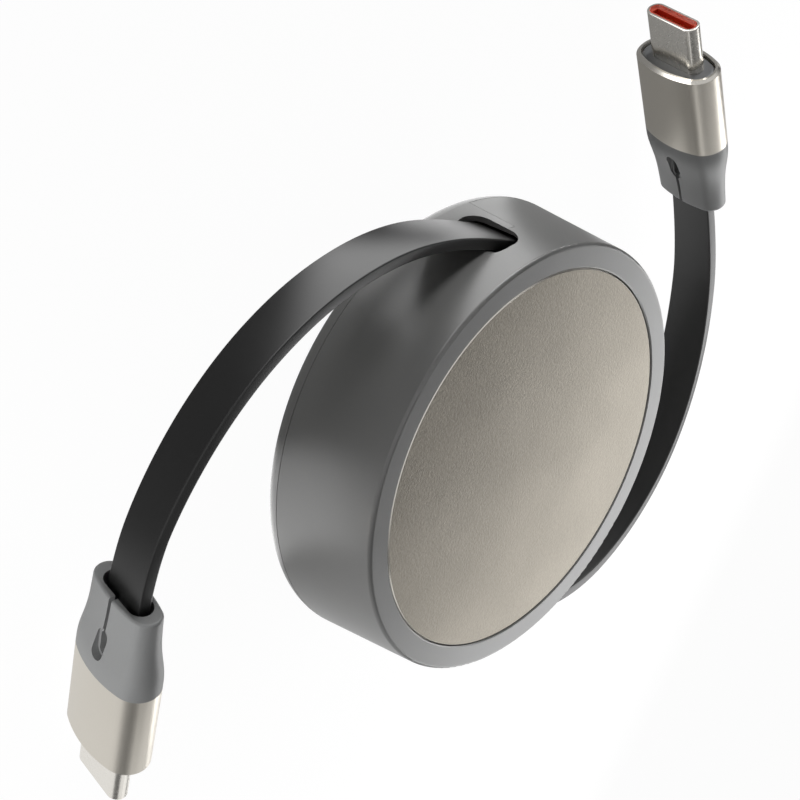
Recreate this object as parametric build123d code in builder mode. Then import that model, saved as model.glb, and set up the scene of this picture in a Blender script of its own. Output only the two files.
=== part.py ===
"""Retractable charging cable: a flat ribbon on a spring-loaded spool, a USB-C plug at each end.

Millimetres, +Z up. The disc lies on its rear cover, origin at the centre of the rear face.
The ribbon leaves through two slots on opposite sides, at -X (end a) and +X (end b).
"""
from math import asin, cos, degrees, radians, sin, tan
import os

from build123d import *

# Housing
front_radius = 29.0
taper = 1.1
rear_round = 2.6
front_round = 0.5
bezel = 3.18
wall = 1.8
web = 2.0
floor = 1.6
seam_chamfer = 0.08
cover_ring = 1.2
cover_ring_height = 1.6
cover_fit = 0.08

# Front plate
plate_thickness = 0.8
plate_gap = 0.12
plate_sink = 0.1
plate_chamfer = 0.15
pad_thickness = 0.15
pad_margin = 1.5
bezel_chamfer = 0.15

# Ribbon and the slots it leaves by
ribbon_width = 6.2
ribbon_thickness = 1.5
ribbon_edge = 0.2
slot_length_clearance = 2.0
slot_width = 4.9
slot_rise = 0.3
channel_clearance = 0.5
channel_length = 14.0
tab_width = 7.6
tab_drop = 2.95
tab_fit = 0.05

# Post, spool and spring
post_radius = 2.5
post_foot_radius = 3.2
post_foot_height = 2.7
post_stub_radius = 1.5
post_stub_depth = 0.8
press_gap = 0.02
running_gap = 0.05
bush_wall = 0.8
hub_radius = 9.0
hub_neck_radius = 7.0
spool_clearance = 1.8
spool_lift = 0.6
flange_thickness = 0.8
track_flange_thickness = 1.4
ribbon_gap = 0.25
cup_inset = 5.2
cup_wall = 0.8
cup_depth = 2.2
roll_inset = 0.8
roll_gap = 0.05
roll_lead = 0.2
roll_lead_angle = 153.4
spring_thickness = 0.25
spring_height = 2.0
spring_turns = 6
spring_gap = 0.12
washer_radius = 5.0
washer_thickness = 0.6
washer_gap = 0.15
post_screw_radius = 1.0
post_screw_head_radius = 2.0
post_screw_length = 8.0
post_screw_fit = 0.1
post_screw_tip_gap = 1.0
post_screw_socket_radius = 0.75
post_screw_socket_depth = 0.6

# Ball latch: lanes in the upper flange, a radial guide slot in the web
ball_radius = 1.5
ball_gap = 0.1
lane_inner_radius = 11.5
lane_outer_radius = 15.0
track_depth = 0.7
lug_angles = (165, 330)
lug_arc = 28
ball_angle = 90

# Plugs
oval_end_share = 0.42
relief_length = 10.7
relief_end_width = 10.8
relief_end_thickness = 4.5
relief_swell = (
    (0, 0),
    (0.15, 0.07),
    (0.3, 0.15),
    (0.45, 0.29),
    (0.6, 0.53),
    (0.75, 0.82),
    (0.9, 0.98),
    (1, 1),
)
relief_end_round = 0.35
relief_mouth_width_clearance = 1.5
relief_mouth_thickness_clearance = 1.5
relief_mouth_depth = 2.6
slit_width = 0.5
keyhole_start = 4.5
keyhole_length = 4.0
keyhole_width = 1.9
keyhole_rim = 0.4
keyhole_floor = 1.2
keyhole_step = 2.4
sleeve_width = 12.9
sleeve_thickness = 7.0
sleeve_length = 12.1
sleeve_wall = 0.65
sleeve_chamfer = 0.35
nose_gap = 0.03
nose_sink = 0.3
nose_round = 0.5
shell_width = 8.34
shell_thickness = 2.56
shell_wall = 0.3
shell_reach = 6.6
shell_root = 5.0
shell_lip = 0.12
insulator_sink = 0.35
tongue_slot_width = 6.6
tongue_slot_height = 0.9
tongue_slot_depth = 5.6
contact_count = 12
contact_pitch = 0.5
contact_width = 0.25
contact_thickness = 0.08
contact_length = 3.6
contact_inset = 0.8
board_width = 8.0
board_thickness = 0.8
board_length = 4.5
board_fit = 0.05

# Levels, from the rear face up
lower_flange_bottom = floor + spool_lift + cup_depth
lower_flange_top = lower_flange_bottom + flange_thickness
ribbon_bottom = lower_flange_top + ribbon_gap
ribbon_top = ribbon_bottom + ribbon_width
middle = (ribbon_bottom + ribbon_top) / 2
upper_flange_bottom = ribbon_top + ribbon_gap
hub_top = upper_flange_bottom + track_flange_thickness
web_bottom = hub_top + washer_gap + washer_thickness
web_top = web_bottom + web
plate_bottom = web_top + pad_thickness
height = plate_bottom + plate_thickness + plate_sink
post_foot_top = floor + post_foot_height
bush_bottom = post_foot_top + running_gap

# Radii, from the wall in
rear_radius = front_radius + taper
recess_radius = front_radius - bezel
plate_radius = recess_radius - plate_gap
flange_radius = front_radius - wall - spool_clearance + taper / 2
roll_radius = flange_radius - roll_inset
cup_radius = flange_radius - cup_inset
bush_radius = post_radius + running_gap + bush_wall

# Ribbon openings
slot_length = ribbon_width + slot_length_clearance
slot_middle = middle + slot_rise
channel_width = ribbon_thickness + channel_clearance
tab_reach = slot_middle + slot_length / 2 - tab_drop
relief_mouth_width = ribbon_width + relief_mouth_width_clearance
relief_mouth_thickness = ribbon_thickness + relief_mouth_thickness_clearance

# Routes of the ribbon's two ends from the middle of the wall at each slot: along X, along Y and up
route_a = [
    (0.45, 1.25, 0.0),
    (-4.25, -9.79, 0.25),
    (-6.32, -19.82, 0.85),
    (-6.01, -30.66, 1.65),
    (-3.46, -40.5, 2.45),
    (0.75, -48.78, 3.15),
    (6.55, -55.54, 3.65),
    (13.59, -59.94, 3.68),
    (18.89, -60.14, 2.65),
]
route_b = [
    (-0.45, -1.25, 0.0),
    (4.25, 9.79, 0.0),
    (6.15, 21.4, 0.0),
    (2.25, 31.6, 0.0),
    (-5.35, 39.9, 0.0),
    (-15.35, 45.3, 0.0),
    (-26.55, 47.6, 0.0),
    (-38.73, 47.25, 0.0),
    (-47.5, 44.47, 0.0),
]
roll_a = -9.0
roll_b = 8.6
arc_share = 0.45

os.makedirs("parts", exist_ok=True)


def outer_radius(z):
    """Radius of the tapered wall at a height."""
    along = (z - rear_round) / (height - rear_round)
    return rear_radius + (front_radius - rear_radius) * along


def wall_points(low, high, spare=0.0):
    """Section of the tapered wall between two heights, with spare stock on both sides."""
    return [
        (outer_radius(low) - wall - spare, low),
        (outer_radius(low) + spare, low),
        (outer_radius(high) + spare, high),
        (outer_radius(high) - wall - spare, high),
    ]


def keep(part, name):
    """Label a finished piece and write it."""
    part.label = name
    export_step(part, f"parts/{name}.step")


slot_radius = outer_radius(middle) - wall / 2


def whole_route(side, free):
    """Route of one end in the part's frame: its start on the roll, then its free points."""
    start = -side * (roll_radius + roll_lead + ribbon_thickness / 2)
    lead = (start * cos(radians(roll_lead_angle)), start * sin(radians(roll_lead_angle)), middle)
    return [lead] + [(side * slot_radius + x, y, middle + up) for x, y, up in free]


def slot_plane(side):
    """Plane of a slot in the middle of the wall, x along the disc's axis."""
    return Plane(origin=(side * slot_radius, 0, slot_middle), x_dir=(0, 0, 1), z_dir=(side, 0, 0))


def channel_plane(route):
    """Plane across the ribbon where it passes the wall, x along the disc's axis."""
    (x0, y0, _), (x1, y1, _) = route[1], route[2]
    run = Vector(x1 - x0, y1 - y0, 0).normalized()
    return Plane(origin=(x0, y0, slot_middle), x_dir=(0, 0, 1), z_dir=run)


route_a = whole_route(-1, route_a)
route_b = whole_route(1, route_b)
wall_openings = [
    (slot_plane(-1), slot_width, wall),
    (slot_plane(1), slot_width, wall),
    (channel_plane(route_a), channel_width, channel_length / 2),
    (channel_plane(route_b), channel_width, channel_length / 2),
]
tab_half_angle = degrees(asin(tab_width / 2 / rear_radius))
notch_half_angle = tab_half_angle + degrees(tab_fit / rear_radius)
tab_sides = (180, 0)


def sector_plane(half_angle, side):
    """Plane through the axis where a sector of the wall begins, centred on a slot's side."""
    return Plane.XZ.rotated((0, 0, side - half_angle))


# Front shell: bezel, web and tapered wall in one moulding
shell_bottom = rear_round
with BuildPart() as front_shell:
    with BuildSketch(Plane.XZ):
        with BuildLine():
            Polyline(
                (0, web_bottom),
                (outer_radius(web_bottom) - wall, web_bottom),
                (outer_radius(shell_bottom) - wall, shell_bottom),
                (outer_radius(shell_bottom), shell_bottom),
                (front_radius, height),
                (recess_radius, height),
                (recess_radius, web_top),
                (0, web_top),
                close=True,
            )
        make_face()
    revolve(axis=Axis.Z)
    levels = front_shell.edges().filter_by(GeomType.CIRCLE).group_by(Axis.Z)
    fillet(levels[-1].sort_by(SortBy.RADIUS)[-1], front_round)
    chamfer(levels[-1].sort_by(SortBy.RADIUS)[0], bezel_chamfer)
    chamfer(levels[0].sort_by(SortBy.RADIUS)[-1], seam_chamfer)
    for side in tab_sides:
        with BuildSketch(sector_plane(notch_half_angle, side)):
            Polygon(*wall_points(shell_bottom, tab_reach + tab_fit, wall), align=None)
        revolve(axis=Axis.Z, revolution_arc=2 * notch_half_angle, mode=Mode.SUBTRACT)
    for plane, width, reach in wall_openings:
        with BuildSketch(plane):
            SlotOverall(slot_length, width)
        extrude(amount=reach, both=True, mode=Mode.SUBTRACT)
    with BuildSketch(Plane.XY.offset(web_bottom)):
        Circle(post_screw_radius + post_screw_fit)
    extrude(amount=web, mode=Mode.SUBTRACT)
    with BuildSketch(Plane.XY.offset(web_top)):
        Circle(post_screw_head_radius + post_screw_fit)
    extrude(amount=-(post_screw_head_radius - post_screw_radius), taper=45, mode=Mode.SUBTRACT)
    with BuildSketch(Plane.XY.offset(web_bottom)):
        with PolarLocations((lane_inner_radius + lane_outer_radius) / 2, 1, start_angle=ball_angle):
            SlotOverall(
                lane_outer_radius - lane_inner_radius + 2 * (ball_radius + ball_gap),
                2 * (ball_radius + ball_gap),
            )
    extrude(amount=web, mode=Mode.SUBTRACT)
keep(front_shell.part, "front_shell")

# Rear cover: flat dish with a rounded rim, a locating ring and two tabs that close the slots
ring_outer = outer_radius(rear_round) - wall - cover_fit
with BuildPart() as rear_cover:
    with BuildSketch(Plane.XZ):
        with BuildLine():
            Line((0, 0), (rear_radius - rear_round, 0))
            RadiusArc((rear_radius - rear_round, 0), (rear_radius, rear_round), -rear_round)
            Polyline(
                (rear_radius, rear_round),
                (ring_outer, rear_round),
                (ring_outer - cover_fit, rear_round + cover_ring_height),
                (ring_outer - cover_ring, rear_round + cover_ring_height),
                (ring_outer - cover_ring, floor),
                (0, floor),
                (0, 0),
            )
        make_face()
    revolve(axis=Axis.Z)
    for side in tab_sides:
        with BuildSketch(sector_plane(tab_half_angle, side)):
            Polygon(*wall_points(rear_round, tab_reach), align=None)
        revolve(axis=Axis.Z, revolution_arc=2 * tab_half_angle)
    for plane, width, reach in wall_openings:
        with BuildSketch(plane):
            SlotOverall(slot_length, width)
        extrude(amount=reach, both=True, mode=Mode.SUBTRACT)
    with BuildSketch(Plane.XY.offset(floor)):
        Circle(post_stub_radius + press_gap)
    extrude(amount=-post_stub_depth, mode=Mode.SUBTRACT)
keep(rear_cover.part, "rear_cover")

# Front plate and the adhesive disc that holds it
with BuildPart() as front_plate:
    with BuildSketch(Plane.XY.offset(plate_bottom)):
        Circle(plate_radius)
    extrude(amount=plate_thickness)
    chamfer(front_plate.faces().sort_by(Axis.Z)[-1].edges(), plate_chamfer)
keep(front_plate.part, "front_plate")

with BuildPart() as plate_pad:
    with BuildSketch(Plane.XY.offset(web_top)):
        Circle(plate_radius - pad_margin)
    extrude(amount=pad_thickness)
keep(plate_pad.part, "plate_adhesive")

# Centre post: stub in the cover, foot that takes the spring, journal for the spool
with BuildPart() as centre_post:
    with BuildSketch(Plane.XY.offset(floor)):
        Circle(post_stub_radius)
    extrude(amount=-post_stub_depth)
    with BuildSketch(Plane.XY.offset(floor)):
        Circle(post_foot_radius)
    extrude(amount=post_foot_height)
    with BuildSketch(Plane.XY.offset(post_foot_top)):
        Circle(post_radius)
    extrude(amount=web_bottom - post_foot_top)
    with BuildSketch(Plane.XY.offset(web_bottom)):
        Circle(post_screw_radius + press_gap)
    extrude(amount=-post_screw_length, mode=Mode.SUBTRACT)
keep(centre_post.part, "centre_post")

with BuildPart() as post_screw:
    with BuildSketch(Plane.XY.offset(web_top)):
        Circle(post_screw_head_radius)
    extrude(amount=-(post_screw_head_radius - post_screw_radius), taper=45)
    with BuildSketch(Plane.XY.offset(web_top)):
        Circle(post_screw_radius)
    extrude(amount=-(web + post_screw_length - post_screw_tip_gap))
    with BuildSketch(Plane.XY.offset(web_top)):
        RegularPolygon(post_screw_socket_radius, 6)
    extrude(amount=-post_screw_socket_depth, mode=Mode.SUBTRACT)
keep(post_screw.part, "post_screw")

with BuildPart() as thrust_washer:
    with BuildSketch(Plane.XY.offset(web_bottom - washer_thickness)):
        Circle(washer_radius)
        Circle(post_radius + running_gap, mode=Mode.SUBTRACT)
    extrude(amount=washer_thickness)
keep(thrust_washer.part, "thrust_washer")

# Spool: hub, lower flange and the cup round the spring
with BuildPart() as spool:
    with BuildSketch(Plane.XZ):
        with BuildLine():
            Polyline(
                (bush_radius, lower_flange_bottom),
                (cup_radius - cup_wall, lower_flange_bottom),
                (cup_radius - cup_wall, lower_flange_bottom - cup_depth),
                (cup_radius, lower_flange_bottom - cup_depth),
                (cup_radius, lower_flange_bottom),
                (flange_radius, lower_flange_bottom),
                (flange_radius, lower_flange_top),
                (hub_radius, lower_flange_top),
                (hub_radius, upper_flange_bottom),
                (hub_neck_radius, upper_flange_bottom),
                (hub_neck_radius, hub_top),
                (bush_radius, hub_top),
                close=True,
            )
        make_face()
    revolve(axis=Axis.Z)
keep(spool.part, "spool")

with BuildPart() as spool_bush:
    with BuildSketch(Plane.XY.offset(bush_bottom)):
        Circle(bush_radius)
        Circle(post_radius + running_gap, mode=Mode.SUBTRACT)
    extrude(amount=hub_top - bush_bottom)
keep(spool_bush.part, "spool_bush")

# Upper flange with the ball track: two lanes joined all round but for the lugs between them
lane_half = ball_radius + ball_gap
with BuildPart() as track_flange:
    with BuildSketch(Plane.XY.offset(upper_flange_bottom)):
        Circle(flange_radius)
        Circle(hub_neck_radius, mode=Mode.SUBTRACT)
    extrude(amount=track_flange_thickness)
    with BuildSketch(Plane.XY.offset(hub_top)):
        Circle(lane_outer_radius + lane_half)
        Circle(lane_inner_radius - lane_half, mode=Mode.SUBTRACT)
    extrude(amount=-track_depth, mode=Mode.SUBTRACT)
    for angle in lug_angles:
        with BuildSketch(Plane.XZ.rotated((0, 0, angle - lug_arc / 2))):
            with Locations((lane_inner_radius, hub_top - track_depth / 2)):
                Rectangle(2 * lane_half, track_depth)
        revolve(axis=Axis.Z, revolution_arc=lug_arc)
keep(track_flange.part, "track_flange")

with BuildPart() as wound_ribbon:
    with BuildSketch(Plane.XY.offset(ribbon_bottom)):
        Circle(roll_radius)
        Circle(hub_radius + roll_gap, mode=Mode.SUBTRACT)
    extrude(amount=ribbon_width)
keep(wound_ribbon.part, "wound_ribbon")

# Spiral spring: half circles about two centres, from the post's foot to the cup
spring_start = post_foot_radius + spring_gap + spring_thickness / 2
spring_end = cup_radius - cup_wall - spring_gap - spring_thickness / 2
spring_step = (spring_end - spring_start) / (2 * spring_turns)
spring_bottom = (floor + lower_flange_bottom - spring_height) / 2
with BuildPart() as main_spring:
    with BuildSketch(Plane.XY.offset(spring_bottom)):
        with BuildLine():
            for half in range(2 * spring_turns):
                radius = spring_start + (half + 0.5) * spring_step
                lower = half % 2
                CenterArc(((lower - 0.5) * spring_step, 0), radius, 180 * lower, 180)
        trace(line_width=spring_thickness)
    extrude(amount=spring_height)
keep(main_spring.part, "main_spring")

# Latch ball in its guide slot, in the free outer lane
with BuildPart() as latch_ball:
    with Locations((
        lane_outer_radius * cos(radians(ball_angle)),
        lane_outer_radius * sin(radians(ball_angle)),
        hub_top - track_depth + ball_radius + running_gap,
    )):
        Sphere(ball_radius)
keep(latch_ball.part, "latch_ball")


def plug_plane(route, roll):
    """Plane at a strain relief's cable end: z along the plug, x across its broad face."""
    along = (Vector(*route[-1]) - Vector(*route[-2])).normalized()
    side = Vector(0, 0, 1).cross(along).normalized()
    across = along.cross(side) * cos(radians(roll)) + side * sin(radians(roll))
    return Plane(origin=route[-1], x_dir=across, z_dir=along)


def oval(width, thickness, inset=0.0, mode=Mode.ADD):
    """Crowned oval in a sketch: a tight arc at each end and a wide one along each broad side."""
    end = oval_end_share * thickness - inset
    half_width = width / 2 - inset
    half_thickness = thickness / 2 - inset
    end_centre = half_width - end
    side = (end_centre**2 + half_thickness**2 - end**2) / (2 * (half_thickness - end))
    x = end_centre * side / (side - end)
    y = (side - half_thickness) * end / (side - end)
    with BuildLine() as outline:
        ThreePointArc((-x, y), (0, half_thickness), (x, y))
        ThreePointArc((x, y), (half_width, 0), (x, -y))
        ThreePointArc((x, -y), (0, -half_thickness), (-x, -y))
        ThreePointArc((-x, -y), (-half_width, 0), (-x, y))
    make_face(outline.edges(), mode=mode)


def build_plug(end, base):
    """One USB-C plug on its plane, from the strain relief to the contacts."""
    rim = relief_length + sleeve_length
    mould_front = rim - nose_sink
    shell_back = mould_front - shell_root
    shell_front = rim + shell_reach
    hollow_width = shell_width - 2 * shell_wall
    hollow_thickness = shell_thickness - 2 * shell_wall

    # Strain relief: an S-shaped taper, open for the ribbon, with a flex keyhole in each broad face
    with BuildPart() as relief:
        for share, swell in relief_swell:
            with BuildSketch(base.offset(share * relief_length)):
                oval(
                    relief_end_width + (sleeve_width - relief_end_width) * swell,
                    relief_end_thickness + (sleeve_thickness - relief_end_thickness) * swell,
                )
        loft()
        cable_end = relief.faces().sort_by(Axis(base.origin, base.z_dir))[0]
        fillet(cable_end.edges(), relief_end_round)
        with BuildSketch(base):
            SlotOverall(relief_mouth_width, relief_mouth_thickness)
        extrude(amount=relief_mouth_depth, mode=Mode.SUBTRACT)
        for face in (1, -1):
            outward = base.y_dir * face
            flat = Plane(origin=base.origin, x_dir=base.z_dir, z_dir=outward)
            with BuildSketch(flat.offset(keyhole_floor)):
                with Locations((keyhole_start / 2, 0)):
                    Rectangle(keyhole_start + keyhole_width, slit_width)
                with Locations((keyhole_start + keyhole_length / 2, 0)):
                    SlotOverall(keyhole_length - 2 * keyhole_rim, keyhole_width - 2 * keyhole_rim)
            extrude(amount=sleeve_thickness, mode=Mode.SUBTRACT)
            with BuildSketch(flat.offset(keyhole_step)):
                with Locations((keyhole_start + keyhole_length / 2, 0)):
                    SlotOverall(keyhole_length, keyhole_width)
            extrude(amount=sleeve_thickness, mode=Mode.SUBTRACT)
    keep(relief.part, f"strain_relief_{end}")

    # Aluminium sleeve with a bright cut front edge
    with BuildPart() as sleeve:
        with BuildSketch(base.offset(relief_length)):
            oval(sleeve_width, sleeve_thickness)
            oval(sleeve_width, sleeve_thickness, inset=sleeve_wall, mode=Mode.SUBTRACT)
        extrude(amount=sleeve_length)
        front = sleeve.faces().sort_by(Axis(base.origin, base.z_dir))[-1]
        chamfer(front.outer_wire().edges(), sleeve_chamfer)
    keep(sleeve.part, f"plug_sleeve_{end}")

    # Plastic core that fills the sleeve and holds the shell and the board
    with BuildPart() as core:
        with BuildSketch(base.offset(relief_length)):
            oval(sleeve_width, sleeve_thickness, inset=sleeve_wall + nose_gap)
        extrude(amount=sleeve_length - nose_sink)
        nose = core.faces().sort_by(Axis(base.origin, base.z_dir))[-1]
        fillet(nose.edges(), nose_round)
        with BuildSketch(base.offset(mould_front)):
            SlotOverall(shell_width + 2 * press_gap, shell_thickness + 2 * press_gap)
        extrude(amount=-shell_root, mode=Mode.SUBTRACT)
        with BuildSketch(base.offset(shell_back)):
            Rectangle(board_width + 2 * board_fit, board_thickness + 2 * board_fit)
        extrude(amount=-board_length, mode=Mode.SUBTRACT)
    keep(core.part, f"plug_core_{end}")

    with BuildPart() as shell:
        with BuildSketch(base.offset(shell_back)):
            SlotOverall(shell_width, shell_thickness)
            SlotOverall(hollow_width, hollow_thickness, mode=Mode.SUBTRACT)
        extrude(amount=shell_front - shell_back)
        mouth = shell.faces().sort_by(Axis(base.origin, base.z_dir))[-1]
        fillet(mouth.outer_wire().edges(), shell_lip)
    keep(shell.part, f"connector_shell_{end}")

    with BuildPart() as insulator:
        with BuildSketch(base.offset(shell_back)):
            SlotOverall(hollow_width - 2 * press_gap, hollow_thickness - 2 * press_gap)
        extrude(amount=shell_front - shell_back - insulator_sink)
        with BuildSketch(base.offset(shell_front - insulator_sink)):
            Rectangle(tongue_slot_width, tongue_slot_height)
        extrude(amount=-tongue_slot_depth, mode=Mode.SUBTRACT)
    keep(insulator.part, f"insulator_{end}")

    with BuildPart() as contacts:
        with BuildSketch(base.offset(shell_front - insulator_sink - contact_inset)):
            for row in (1, -1):
                with Locations((0, row * (tongue_slot_height - contact_thickness) / 2)):
                    with GridLocations(contact_pitch, 1, contact_count, 1):
                        Rectangle(contact_width, contact_thickness)
        extrude(amount=-contact_length)
    keep(contacts.part, f"contacts_{end}")

    with BuildPart() as board:
        with BuildSketch(base.offset(shell_back)):
            Rectangle(board_width, board_thickness)
        extrude(amount=-(board_length - board_fit))
    keep(board.part, f"paddle_board_{end}")


def corner_radii(points):
    """The largest arcs that the runs of a route leave room for, one for each corner."""
    radii = []
    for before, corner, after in zip(points, points[1:], points[2:]):
        run_in = Vector(*corner) - Vector(*before)
        run_out = Vector(*after) - Vector(*corner)
        half_turn = radians(run_in.get_angle(run_out)) / 2
        radii.append(arc_share * min(run_in.length, run_out.length) / tan(half_turn))
    return radii


def build_ribbon(end, route, base):
    """One free end of the ribbon, from the roll to the floor of its strain relief."""
    tip = base.origin + base.z_dir * relief_mouth_depth
    points = route[:-1] + [tuple(tip)]
    radii = corner_radii(points)
    print(f"ribbon_{end} radii", [round(r, 1) for r in radii])
    with BuildPart() as ribbon:
        with BuildLine() as path:
            FilletPolyline(*points, radius=radii)
        line = path.wires()[0]
        with BuildSketch(Plane(origin=line @ 0, x_dir=(0, 0, 1), z_dir=line % 0)) as section:
            RectangleRounded(ribbon_width, ribbon_thickness, ribbon_edge)
        sweep(path=line)
    share = ribbon.part.volume / (section.sketch.area * line.length)
    print(f"ribbon_{end} length", round(line.length, 1), "volume share", round(share, 4))
    keep(ribbon.part, f"ribbon_{end}")


for end, route, roll in (("a", route_a, roll_a), ("b", route_b, roll_b)):
    base = plug_plane(route, roll)
    build_plug(end, base)
    build_ribbon(end, route, base)
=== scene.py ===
"""Looks and stage of the retractable charging cable, in metres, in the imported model's frame."""
from math import cos, pi, radians, sin

import bpy
from mathutils import Matrix, Vector


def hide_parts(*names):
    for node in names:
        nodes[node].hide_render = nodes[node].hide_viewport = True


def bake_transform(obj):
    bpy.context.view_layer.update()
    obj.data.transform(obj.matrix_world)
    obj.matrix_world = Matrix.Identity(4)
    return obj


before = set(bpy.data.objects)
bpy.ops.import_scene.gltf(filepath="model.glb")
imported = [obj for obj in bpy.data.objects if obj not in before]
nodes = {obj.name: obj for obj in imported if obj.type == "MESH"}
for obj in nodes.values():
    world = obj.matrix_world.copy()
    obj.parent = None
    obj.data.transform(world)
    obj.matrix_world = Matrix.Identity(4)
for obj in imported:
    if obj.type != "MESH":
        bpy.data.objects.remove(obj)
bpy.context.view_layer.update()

# The flat ribbon: its section, and into how many steps its rounded edges and its bends are divided
RIBBON_WIDTH = 0.0062
RIBBON_THICKNESS = 0.0015
RIBBON_EDGE = 0.0002
EDGE_STEPS = 5
BEND_STEPS = 14

# Where the ribbon leaves the disc's wall: two slots, half a turn apart
SLOT_HEIGHT = 0.00855

# Routes of the ribbon's two ends, from the roll through the slot to the floor of the strain relief
ROUTE_A = [
    (-0.02334, 0.01169, SLOT_HEIGHT), (-0.02830, 0.00125, SLOT_HEIGHT), (-0.03300, -0.00979, 0.00880),
    (-0.03507, -0.01982, 0.00950), (-0.03476, -0.03066, 0.01040), (-0.03221, -0.04050, 0.01135),
    (-0.02800, -0.04878, 0.01220), (-0.02220, -0.05554, 0.01275), (-0.01516, -0.05994, 0.01250),
    (-0.00731, -0.06024, 0.01070),
]
ROUTE_B = [
    (x, y, SLOT_HEIGHT) for x, y in (
        (0.02334, -0.01169), (0.02830, -0.00125), (0.03300, 0.00979), (0.03490, 0.02140),
        (0.03100, 0.03160), (0.02340, 0.03990), (0.01340, 0.04490), (0.00220, 0.04710),
        (-0.00998, 0.04695), (-0.02123, 0.04368),
    )
]

# Lean of the ribbon's width at each of those points, in degrees: near the disc with the wall's taper, and
# at the other end with the plug
LEANS_A = (0, 2, 4.5, 4, 2.5, 0, -3, -6, -9, -9)
LEANS_B = (0, 2, 2, -1, -5, -9, -11, -9, -1, 4)

# Each plug: the middle of its strain relief's cable end and its direction
PLUGS = {
    "a": {"end": (-0.00986, -0.06014, 0.01120), "along": (0.98096, -0.03702, -0.19064)},
    "b": {"end": (-0.01875, 0.04447, SLOT_HEIGHT), "along": (-0.95325, -0.30217, 0.0)},
}

# Bright rims cut on the aluminium: the radius on the front plate and the distance along a plug at which
# each begins, and over what width it fades in
PLATE_RIM = 0.02552
PLATE_RIM_FADE = 0.00006
SLEEVE_RIM = 0.0224
SLEEVE_RIM_FADE = 0.0001
RIM_COLOUR = (0.80, 0.77, 0.71, 1)
RIM_ROUGHNESS = 0.2

# The floor: its reach and its drop below the disc, its own shade, the white that the camera sees, and that
# white's share
FLOOR_REACH = 1.5
FLOOR_DROP = 0.00002
FLOOR_SHADE = 0.8
FLOOR_WHITE = 1.05
FLOOR_WHITE_SHARE = 0.92

# Sectors of the floor's painted glow, seen only in reflections, among them a painted shadow: the azimuth of
# the middle in degrees, then the cosines of the angles from there at which the sector begins and is whole
PAINTED_BRIGHT_SECTOR = (180, 0.82, 0.96)
DIM_SECTOR = (236, 0.80, 0.96)
DUSK_SECTOR = (132, 0.93, 0.985)
PAINTED_STRIP_SECTOR = (272, 0.93, 0.99)
PAINTED_SHADOW_SECTOR = (192, 0.77, 0.94)

# Levels of the painted glow in those sectors and between them; the painted shadow sector has no level of its
# own
PAINTED_BRIGHT_LEVEL = 3.7
DIM_LEVEL = 0.2
DUSK_LEVEL = 0.25
PAINTED_STRIP_LEVEL = 1.7
BETWEEN_LEVEL = 0.85

# Distances from the disc's axis over which the painted shadow ring begins and ends, the painted strip ends
# and the painted glow darkens, and the shares of that glow lost far away and, in the bright sector, within
# the ring
PAINTED_SHADOW_BEGINS = (0.0350, 0.0375)
PAINTED_SHADOW_ENDS = (0.0415, 0.0455)
PAINTED_STRIP_ENDS = (0.050, 0.060)
FAR_BEGINS = (0.15, 0.40)
FAR_LOSS = 0.75
INNER_LOSS = 0.6

# The air: its light from all round, the white that the camera sees on top of it, and its painted glow that
# only reflections show, which is dimmer towards one side and brighter overhead, by the sine of a direction's
# rise
AIR_LIGHT = 0.03
AIR_WHITE = 0.97
AIR_GLOW = 0.57
AIR_DIM_SECTOR = (40, -0.3, 0.3)
AIR_DIM_LOSS = 0.49
OVERHEAD = (0.80, 0.97)
OVERHEAD_GAIN = 0.6

# What the lamps are aimed at: a point on the disc's axis, about half way up
LAMP_AIM = (0, 0, 0.008)

# The photograph's view: the camera's place and its axes, and the lens and sensor in millimetres
CAMERA_PLACE = (-0.14166, -0.16577, 0.14449)
CAMERA_RIGHT = (-0.016723, 0.676902, 0.735883)
CAMERA_DOWN = (0.843064, -0.386141, 0.374351)
CAMERA_AHEAD = (0.537553, 0.626657, -0.564214)
LENS_MM = 90
SENSOR_MM = 36


class Socket:
    """A socket in a node tree. Arithmetic on it adds Math nodes."""

    def __init__(self, tree, out=None):
        self.tree = tree
        self.out = out

    def add(self, kind, settings=(), sockets=(), out=0):
        """A new node in the tree: its settings first, then its sockets' values or links."""
        node = self.tree.nodes.new(kind)
        for name, value in dict(settings).items():
            setattr(node, name, value)
        for name, value in dict(sockets).items():
            if isinstance(value, Socket):
                self.tree.links.new(value.out, node.inputs[name])
            else:
                node.inputs[name].default_value = value
        return Socket(self.tree, node.outputs[out] if len(node.outputs) else None)

    def beside(self, name):
        """Another output of the same node."""
        return Socket(self.tree, self.out.node.outputs[name])

    def math(self, operation, *values):
        """A Math node on numbers, sockets or both."""
        return self.add("ShaderNodeMath", {"operation": operation}, dict(enumerate(values)))

    def __add__(self, other):
        return self.math("ADD", self, other)

    def __sub__(self, other):
        return self.math("SUBTRACT", self, other)

    def __rsub__(self, other):
        return self.math("SUBTRACT", other, self)

    def __mul__(self, other):
        return self.math("MULTIPLY", self, other)

    __radd__ = __add__
    __rmul__ = __mul__


# Parts of a finish

def grey(level):
    """A neutral colour."""
    return (level, level, level, 1)


def new_finish(name):
    """An empty material and the start of its node tree."""
    material = bpy.data.materials.new(name)
    material.use_nodes = True
    material.node_tree.nodes.clear()
    return material, Socket(material.node_tree)


def surface(tree, **sockets):
    """The Principled surface of a finish and its output. Underscores in the names stand for spaces."""
    named = {key.replace("_", " "): value for key, value in sockets.items()}
    shader = tree.add("ShaderNodeBsdfPrincipled", {}, named)
    tree.add("ShaderNodeOutputMaterial", {}, {"Surface": shader})


def place(tree):
    """Place on the piece in the model's frame."""
    return tree.add("ShaderNodeTexCoord", out="Object")


def vector_math(tree, operation, *values, out=0):
    """A Vector Math node on places, directions or both."""
    return tree.add("ShaderNodeVectorMath", {"operation": operation}, dict(enumerate(values)), out=out)


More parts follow.
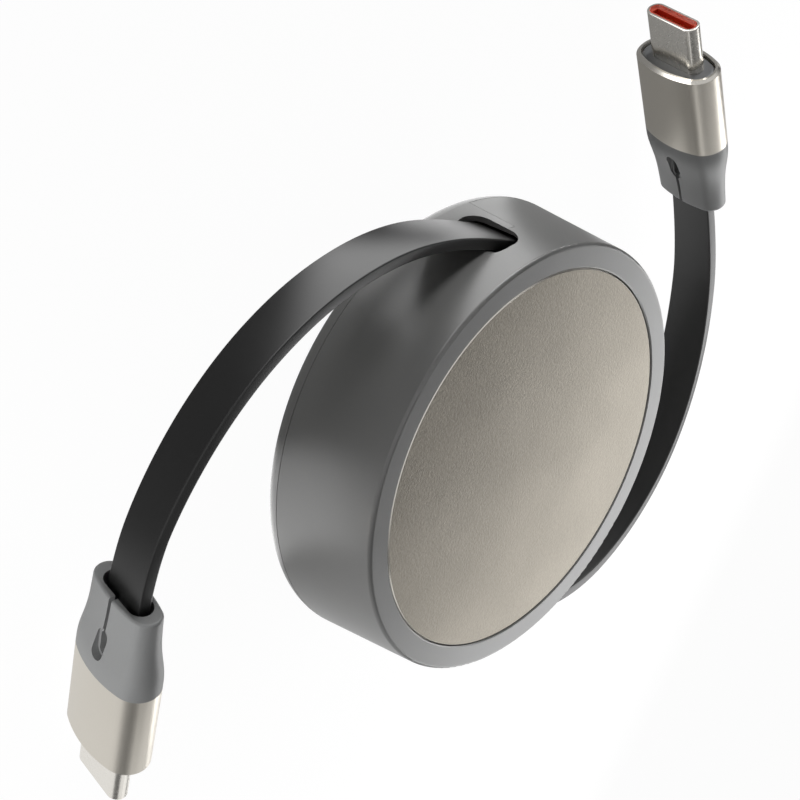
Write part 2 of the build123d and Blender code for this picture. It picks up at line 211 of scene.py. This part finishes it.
def noise(tree, size, detail=2.0, roughness=0.5):
    """Noise with features of about the given size in metres, from 0 to 1."""
    return tree.add(
        "ShaderNodeTexNoise", {},
        {"Vector": place(tree), "Scale": 1 / size, "Detail": detail, "Roughness": roughness},
        out="Fac",
    )


def mingled(first, second, share):
    """Two patterns in one, with the given share of the second."""
    return first * (1 - share) + second * share


def uneven(level, pattern, spread):
    """A level that a pattern moves up and down by up to the spread."""
    return level - spread + pattern * (2 * spread)


def tint(tree, share, first, second):
    """A colour between two, by a share."""
    return tree.add(
        "ShaderNodeMix", {"data_type": "RGBA"}, {"Factor": share, "A": first, "B": second}, out="Result"
    )


def bump(tree, height, depth):
    """Normal of a fine relief, its depth in metres."""
    return tree.add("ShaderNodeBump", {}, {"Height": height, "Distance": depth})


def ease(tree, value, low, high):
    """A soft step from 0 at the low value to 1 at the high one."""
    return tree.add(
        "ShaderNodeMapRange", {"interpolation_type": "SMOOTHSTEP"},
        {"Value": value, "From Min": low, "From Max": high}, out="Result",
    )


def along_plug(tree, plug):
    """Distance along a plug from its cable end, in metres."""
    reach = vector_math(tree, "DOT_PRODUCT", place(tree), plug["along"], out="Value")
    return reach - Vector(plug["end"]).dot(Vector(plug["along"]))


def from_axis(tree):
    """Distance from the disc's axis, in metres."""
    flat = vector_math(tree, "MULTIPLY", place(tree), (1, 1, 0))
    return vector_math(tree, "LENGTH", flat, out="Value")


def around(tree, sector, at=None):
    """Share of a sector round the disc's axis, at a place or a direction: 1 in its middle, 0 outside."""
    azimuth, low, high = sector
    flat = vector_math(tree, "MULTIPLY", at or place(tree), (1, 1, 0))
    unit = vector_math(tree, "NORMALIZE", flat)
    middle = (cos(radians(azimuth)), sin(radians(azimuth)), 0)
    return ease(tree, vector_math(tree, "DOT_PRODUCT", unit, middle, out="Value"), low, high)


# Finishes

def satin_plastic(name, dark, light, roughness, specular=0.5):
    """Moulded plastic: a faint cloudiness, a spark-eroded grain and an uneven gloss."""
    material, tree = new_finish(name)
    cloud = noise(tree, size=0.006, detail=3)
    grain = noise(tree, size=0.00022)
    surface(
        tree,
        Base_Color=tint(tree, mingled(cloud, grain, share=0.3), dark, light),
        Roughness=uneven(roughness, cloud, spread=0.04),
        Specular_IOR_Level=specular,
        Normal=bump(tree, grain, depth=0.000006),
    )
    return material


def blasted_aluminium(name, dark, light, roughness, grain, depth, rim):
    """Anodised aluminium with a bead-blasted grain that sparkles, and a bright cut rim."""
    material, tree = new_finish(name)
    cloud = noise(tree, size=0.012)
    beads = noise(tree, size=grain, detail=3, roughness=0.65)
    bright = rim(tree)
    blasted = tint(tree, mingled(cloud, beads, share=0.6), dark, light)
    surface(
        tree,
        Base_Color=tint(tree, bright, blasted, RIM_COLOUR),
        Metallic=1.0,
        Roughness=(1 - bright) * uneven(roughness, beads, spread=0.06) + bright * RIM_ROUGHNESS,
        Normal=bump(tree, beads * (1 - bright), depth),
    )
    return material


def plate_rim(tree):
    """The bright rim of the front plate."""
    return ease(tree, from_axis(tree), PLATE_RIM, PLATE_RIM + PLATE_RIM_FADE)


def sleeve_rim(plug):
    """The bright rim at the front of a plug's sleeve."""
    def rim(tree):
        return ease(tree, along_plug(tree, plug), SLEEVE_RIM, SLEEVE_RIM + SLEEVE_RIM_FADE)
    return rim


def polished_metal(name, dark, light, roughness):
    """Plated or turned metal with a faintly uneven polish."""
    material, tree = new_finish(name)
    polish = noise(tree, size=0.0004, detail=3)
    surface(
        tree,
        Base_Color=tint(tree, polish, dark, light),
        Metallic=1.0,
        Roughness=uneven(roughness, polish, spread=0.05),
        Normal=bump(tree, polish, depth=0.000002),
    )
    return material


def soft_elastomer(name, dark, light, roughness, specular):
    """Cable elastomer with a fine skin and faint handling marks."""
    material, tree = new_finish(name)
    marks = noise(tree, size=0.009, detail=4, roughness=0.6)
    skin = noise(tree, size=0.00018)
    surface(
        tree,
        Base_Color=tint(tree, mingled(marks, skin, share=0.4), dark, light),
        Roughness=uneven(roughness, marks, spread=0.05),
        Specular_IOR_Level=specular,
        Normal=bump(tree, skin, depth=0.000004),
    )
    return material


def board_coating(name):
    """Green solder resist over a fine weave."""
    material, tree = new_finish(name)
    weave = noise(tree, size=0.0003)
    surface(
        tree,
        Base_Color=tint(tree, weave, (0.01, 0.06, 0.03, 1), (0.02, 0.1, 0.05, 1)),
        Roughness=uneven(0.4, weave, spread=0.05),
    )
    return material


def dress(material, *names):
    """Give CAD nodes a finish."""
    for name in names:
        mesh = nodes[name].data
        mesh.materials.clear()
        mesh.materials.append(material)


# The ribbon

def ribbon_line(name, route):
    """Points along the smooth line of a ribbon's route."""
    curve = bpy.data.curves.new(name + "_line", "CURVE")
    curve.dimensions = "3D"
    curve.resolution_u = BEND_STEPS
    spline = curve.splines.new("NURBS")
    spline.points.add(len(route) - 1)
    for point, spot in zip(spline.points, route):
        point.co = (*spot, 1)
    spline.order_u = 3
    spline.use_endpoint_u = True
    holder = bpy.data.objects.new(name + "_line", curve)
    line = bpy.data.meshes.new_from_object(holder)
    points = [vertex.co.copy() for vertex in line.vertices]
    bpy.data.objects.remove(holder)
    bpy.data.curves.remove(curve)
    bpy.data.meshes.remove(line)
    return points


def ribbon_section():
    """Outline of the flat ribbon: across its width, then through its thickness."""
    outline = []
    half_width = RIBBON_WIDTH / 2 - RIBBON_EDGE
    half_thickness = RIBBON_THICKNESS / 2 - RIBBON_EDGE
    for corner, (x, y) in enumerate(((1, 1), (-1, 1), (-1, -1), (1, -1))):
        for step in range(EDGE_STEPS + 1):
            turn = radians(90 * (corner + step / EDGE_STEPS))
            across = x * half_width + RIBBON_EDGE * cos(turn)
            through = y * half_thickness + RIBBON_EDGE * sin(turn)
            outline.append((across, through))
    return outline


def lean_at(leans, share):
    """Lean of the ribbon at a share of its route, in radians."""
    spot = share * (len(leans) - 1)
    before = min(int(spot), len(leans) - 2)
    return radians(leans[before] + (leans[before + 1] - leans[before]) * (spot - before))


def ribbon_mesh(name, points, leans):
    """The ribbon's section, swept along the points and closed at both ends."""
    section = ribbon_section()
    count = len(section)
    up = Vector((0, 0, 1))
    verts = []
    for index, point in enumerate(points):
        ahead = points[min(index + 1, len(points) - 1)]
        behind = points[max(index - 1, 0)]
        along = (ahead - behind).normalized()
        turn = lean_at(leans, index / (len(points) - 1))
        side = up.cross(along).normalized()
        across = along.cross(side) * cos(turn) + side * sin(turn)
        through = along.cross(across)
        verts += [point + across * x + through * y for x, y in section]
    last = len(verts) - count
    faces = []
    for ring in range(0, last, count):
        for spot in range(count):
            beside = (spot + 1) % count
            faces.append((ring + spot, ring + beside, ring + count + beside, ring + count + spot))
    faces.append(tuple(reversed(range(count))))
    faces.append(tuple(range(last, len(verts))))
    mesh = bpy.data.meshes.new(name)
    mesh.from_pydata(verts, [], faces)
    mesh.validate()
    mesh.shade_smooth()
    return mesh


def ribbon(name, end, route, leans):
    """One free end of the ribbon, from the roll to its plug."""
    points = ribbon_line(name, route)
    piece = bpy.data.objects.new(name, ribbon_mesh(name, points, leans))
    bpy.context.collection.objects.link(piece)
    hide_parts(f"ribbon_{end}")
    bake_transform(piece)
    return piece


# The stage

def floor_white_and_painted_glow():
    """White to the camera, over the floor's own shade. Reflections show its painted glow and painted shadow
    ring.
    """
    material, tree = new_finish("floor_white_and_painted_glow")
    seen = tree.add("ShaderNodeLightPath", out="Is Camera Ray")
    mirrored = tree.math("MAXIMUM", seen.beside("Is Glossy Ray"), seen.beside("Is Transmission Ray"))
    reach = from_axis(tree)
    # Painted shadow: a dark ring in the reflected glow near the disc, where the ribbon's shadow falls
    inner = 1 - ease(tree, reach, *PAINTED_SHADOW_BEGINS)
    painted_shadow = (1 - inner) * (1 - ease(tree, reach, *PAINTED_SHADOW_ENDS)) * around(tree, PAINTED_SHADOW_SECTOR)
    # Painted reflections: a bright sector, a bright strip, dim sectors and a middling glow between them
    painted_bright = around(tree, PAINTED_BRIGHT_SECTOR) * (1 - painted_shadow) * (1 - inner * INNER_LOSS)
    dim = around(tree, DIM_SECTOR)
    dusk = around(tree, DUSK_SECTOR)
    painted_strip = around(tree, PAINTED_STRIP_SECTOR) * (1 - ease(tree, reach, *PAINTED_STRIP_ENDS))
    between = (1 - painted_bright) * (1 - dim) * (1 - dusk) * (1 - painted_shadow)
    sectors = painted_bright * (1 - dusk) * PAINTED_BRIGHT_LEVEL + dim * DIM_LEVEL + dusk * DUSK_LEVEL + between * BETWEEN_LEVEL
    painted_reflection = sectors * (1 - ease(tree, reach, *FAR_BEGINS) * FAR_LOSS) + painted_strip * PAINTED_STRIP_LEVEL
    plain = tree.add("ShaderNodeBsdfDiffuse", {}, {"Color": grey(FLOOR_SHADE)})
    # Emission: white to the camera, and the painted glow and painted shadow to reflections
    white = tree.add("ShaderNodeEmission", {}, {"Color": seen * FLOOR_WHITE + mirrored * painted_reflection})
    share = (seen + mirrored) * FLOOR_WHITE_SHARE
    mixed = tree.add("ShaderNodeMixShader", {}, {0: share, 1: plain, 2: white})
    tree.add("ShaderNodeOutputMaterial", {}, {"Surface": mixed})
    return material


def floor():
    """The pale floor that the disc lies on."""
    mesh = bpy.data.meshes.new("floor")
    corners = [(x * FLOOR_REACH, y * FLOOR_REACH, 0) for x, y in ((-1, -1), (1, -1), (1, 1), (-1, 1))]
    mesh.from_pydata(corners, [], [(0, 1, 2, 3)])
    mesh.materials.append(floor_white_and_painted_glow())
    piece = bpy.data.objects.new("floor", mesh)
    piece.location.z = -FLOOR_DROP
    bpy.context.collection.objects.link(piece)


def studio_air():
    """Faint light from all round, white to the camera, with a painted glow that only reflections show."""
    world = bpy.data.worlds.new("studio_air")
    bpy.context.scene.world = world
    world.use_nodes = True
    world.node_tree.nodes.clear()
    tree = Socket(world.node_tree)
    seen = tree.add("ShaderNodeLightPath", out="Is Camera Ray")
    way = tree.add("ShaderNodeTexCoord", out="Generated")
    rise = vector_math(tree, "DOT_PRODUCT", way, (0, 0, 1), out="Value")
    dim_side = around(tree, AIR_DIM_SECTOR, at=way)
    overhead = ease(tree, rise, *OVERHEAD)
    # Painted reflection: a glow that only glossy rays see, dimmer towards one side and brighter overhead
    glow = seen.beside("Is Glossy Ray") * (AIR_GLOW - dim_side * AIR_DIM_LOSS + overhead * OVERHEAD_GAIN)
    air = tree.add("ShaderNodeBackground", {}, {"Color": seen * AIR_WHITE + glow + AIR_LIGHT})
    tree.add("ShaderNodeOutputWorld", {}, {"Surface": air})


def softbox(name, towards, distance, size, level, mirrored=True):
    """A soft rectangular lamp, aimed at the disc. Its level is how bright its face is, whatever its size."""
    width, height = size
    lamp = bpy.data.lights.new(name, "AREA")
    lamp.shape = "RECTANGLE"
    lamp.size = width
    lamp.size_y = height
    lamp.energy = level * pi * width * height
    holder = bpy.data.objects.new(name, lamp)
    away = Vector(towards).normalized()
    holder.location = Vector(LAMP_AIM) + away * distance
    holder.rotation_mode = "QUATERNION"
    holder.rotation_quaternion = away.to_track_quat("Z", "Y")
    holder.visible_glossy = mirrored
    bpy.context.collection.objects.link(holder)


def camera():
    """The photograph's view."""
    lens = bpy.data.cameras.new("camera")
    lens.sensor_fit = "HORIZONTAL"
    lens.sensor_width = SENSOR_MM
    lens.lens = LENS_MM
    lens.clip_start = 0.01
    lens.clip_end = 20
    holder = bpy.data.objects.new("camera", lens)
    axes = Matrix((CAMERA_RIGHT, -Vector(CAMERA_DOWN), -Vector(CAMERA_AHEAD))).transposed()
    holder.matrix_world = Matrix.Translation(CAMERA_PLACE) @ axes.to_4x4()
    bpy.context.collection.objects.link(holder)
    bpy.context.scene.camera = holder


# Both ends of the ribbon
ribbon_a = ribbon("flat_ribbon_a", "a", ROUTE_A, LEANS_A)
ribbon_b = ribbon("flat_ribbon_b", "b", ROUTE_B, LEANS_B)

# The disc's finishes
graphite = satin_plastic(
    "graphite_plastic", (0.226, 0.228, 0.226, 1), (0.268, 0.265, 0.259, 1), roughness=0.31, specular=0.8
)
champagne_plate = blasted_aluminium(
    "champagne_plate", (0.100, 0.090, 0.071, 1), (0.246, 0.224, 0.187, 1),
    roughness=0.34, grain=0.00030, depth=0.000030, rim=plate_rim,
)
cable_black = soft_elastomer("ribbon_elastomer", grey(0.016), grey(0.024), roughness=0.36, specular=0.52)
spool_plastic = satin_plastic("spool_plastic", grey(0.02), grey(0.03), roughness=0.45)
washer_plastic = satin_plastic("washer_plastic", grey(0.65), grey(0.72), roughness=0.4)
adhesive_film = satin_plastic("adhesive_film", grey(0.012), grey(0.02), roughness=0.7)
turned_steel = polished_metal("turned_steel", grey(0.45), grey(0.6), roughness=0.3)
bush_brass = polished_metal("bush_brass", (0.5, 0.35, 0.12, 1), (0.62, 0.45, 0.18, 1), roughness=0.3)

# The plugs' finishes
champagne_sleeves = {
    end: blasted_aluminium(
        f"champagne_sleeve_{end}", (0.69, 0.65, 0.578, 1), (0.81, 0.77, 0.692, 1),
        roughness=0.36, grain=0.00018, depth=0.000006, rim=sleeve_rim(plug),
    )
    for end, plug in PLUGS.items()
}
relief_grey = soft_elastomer(
    "relief_elastomer", (0.285, 0.290, 0.292, 1), (0.340, 0.342, 0.340, 1), roughness=0.42, specular=0.6
)
core_plastic = satin_plastic(
    "core_plastic", (0.165, 0.170, 0.178, 1), (0.20, 0.205, 0.214, 1), roughness=0.42
)
insulator_red = satin_plastic(
    "insulator_red", (0.72, 0.070, 0.030, 1), (0.80, 0.090, 0.042, 1), roughness=0.4
)
shell_steel = polished_metal("shell_steel", (0.86, 0.83, 0.77, 1), (0.95, 0.92, 0.86, 1), roughness=0.26)
contact_gold = polished_metal("contact_gold", (0.7, 0.45, 0.15, 1), (0.8, 0.55, 0.2, 1), roughness=0.25)
board_green = board_coating("board_coating")

dress(graphite, "front_shell", "rear_cover")
dress(champagne_plate, "front_plate")
dress(adhesive_film, "plate_adhesive")
dress(turned_steel, "centre_post", "post_screw", "main_spring", "latch_ball")
dress(washer_plastic, "thrust_washer")
dress(spool_plastic, "spool", "track_flange")
dress(bush_brass, "spool_bush")
dress(cable_black, "wound_ribbon")
for end in PLUGS:
    dress(relief_grey, f"strain_relief_{end}")
    dress(champagne_sleeves[end], f"plug_sleeve_{end}")
    dress(core_plastic, f"plug_core_{end}")
    dress(shell_steel, f"connector_shell_{end}")
    dress(insulator_red, f"insulator_{end}")
    dress(contact_gold, f"contacts_{end}")
    dress(board_green, f"paddle_board_{end}")
for piece in (ribbon_a, ribbon_b):
    piece.data.materials.append(cable_black)

# The stage, its lamps and the camera
floor()
studio_air()
softbox("key_upper", towards=(-0.900, 0.420, 0.10), distance=0.45, size=(0.26, 0.12), level=8.0)
softbox(
    "key_lower_left", towards=(-0.05, -0.99, 0.10), distance=0.135, size=(0.11, 0.05), level=2.9,
    mirrored=False,
)
softbox("far_card", towards=(0.0585, 0.0684, 0.037), distance=0.097, size=(0.16, 0.05), level=3.2)
softbox("soft_right", towards=(0.142, 0.807, 0.574), distance=0.50, size=(0.30, 0.24), level=0.45)
softbox("soft_behind", towards=(0.770, 0.280, 0.574), distance=0.50, size=(0.30, 0.24), level=0.25)
softbox("plug_side", towards=(0.105, -0.041, 0.036), distance=0.119, size=(0.10, 0.05), level=0.75)
camera()
bpy.context.scene.view_settings.view_transform = "Standard"
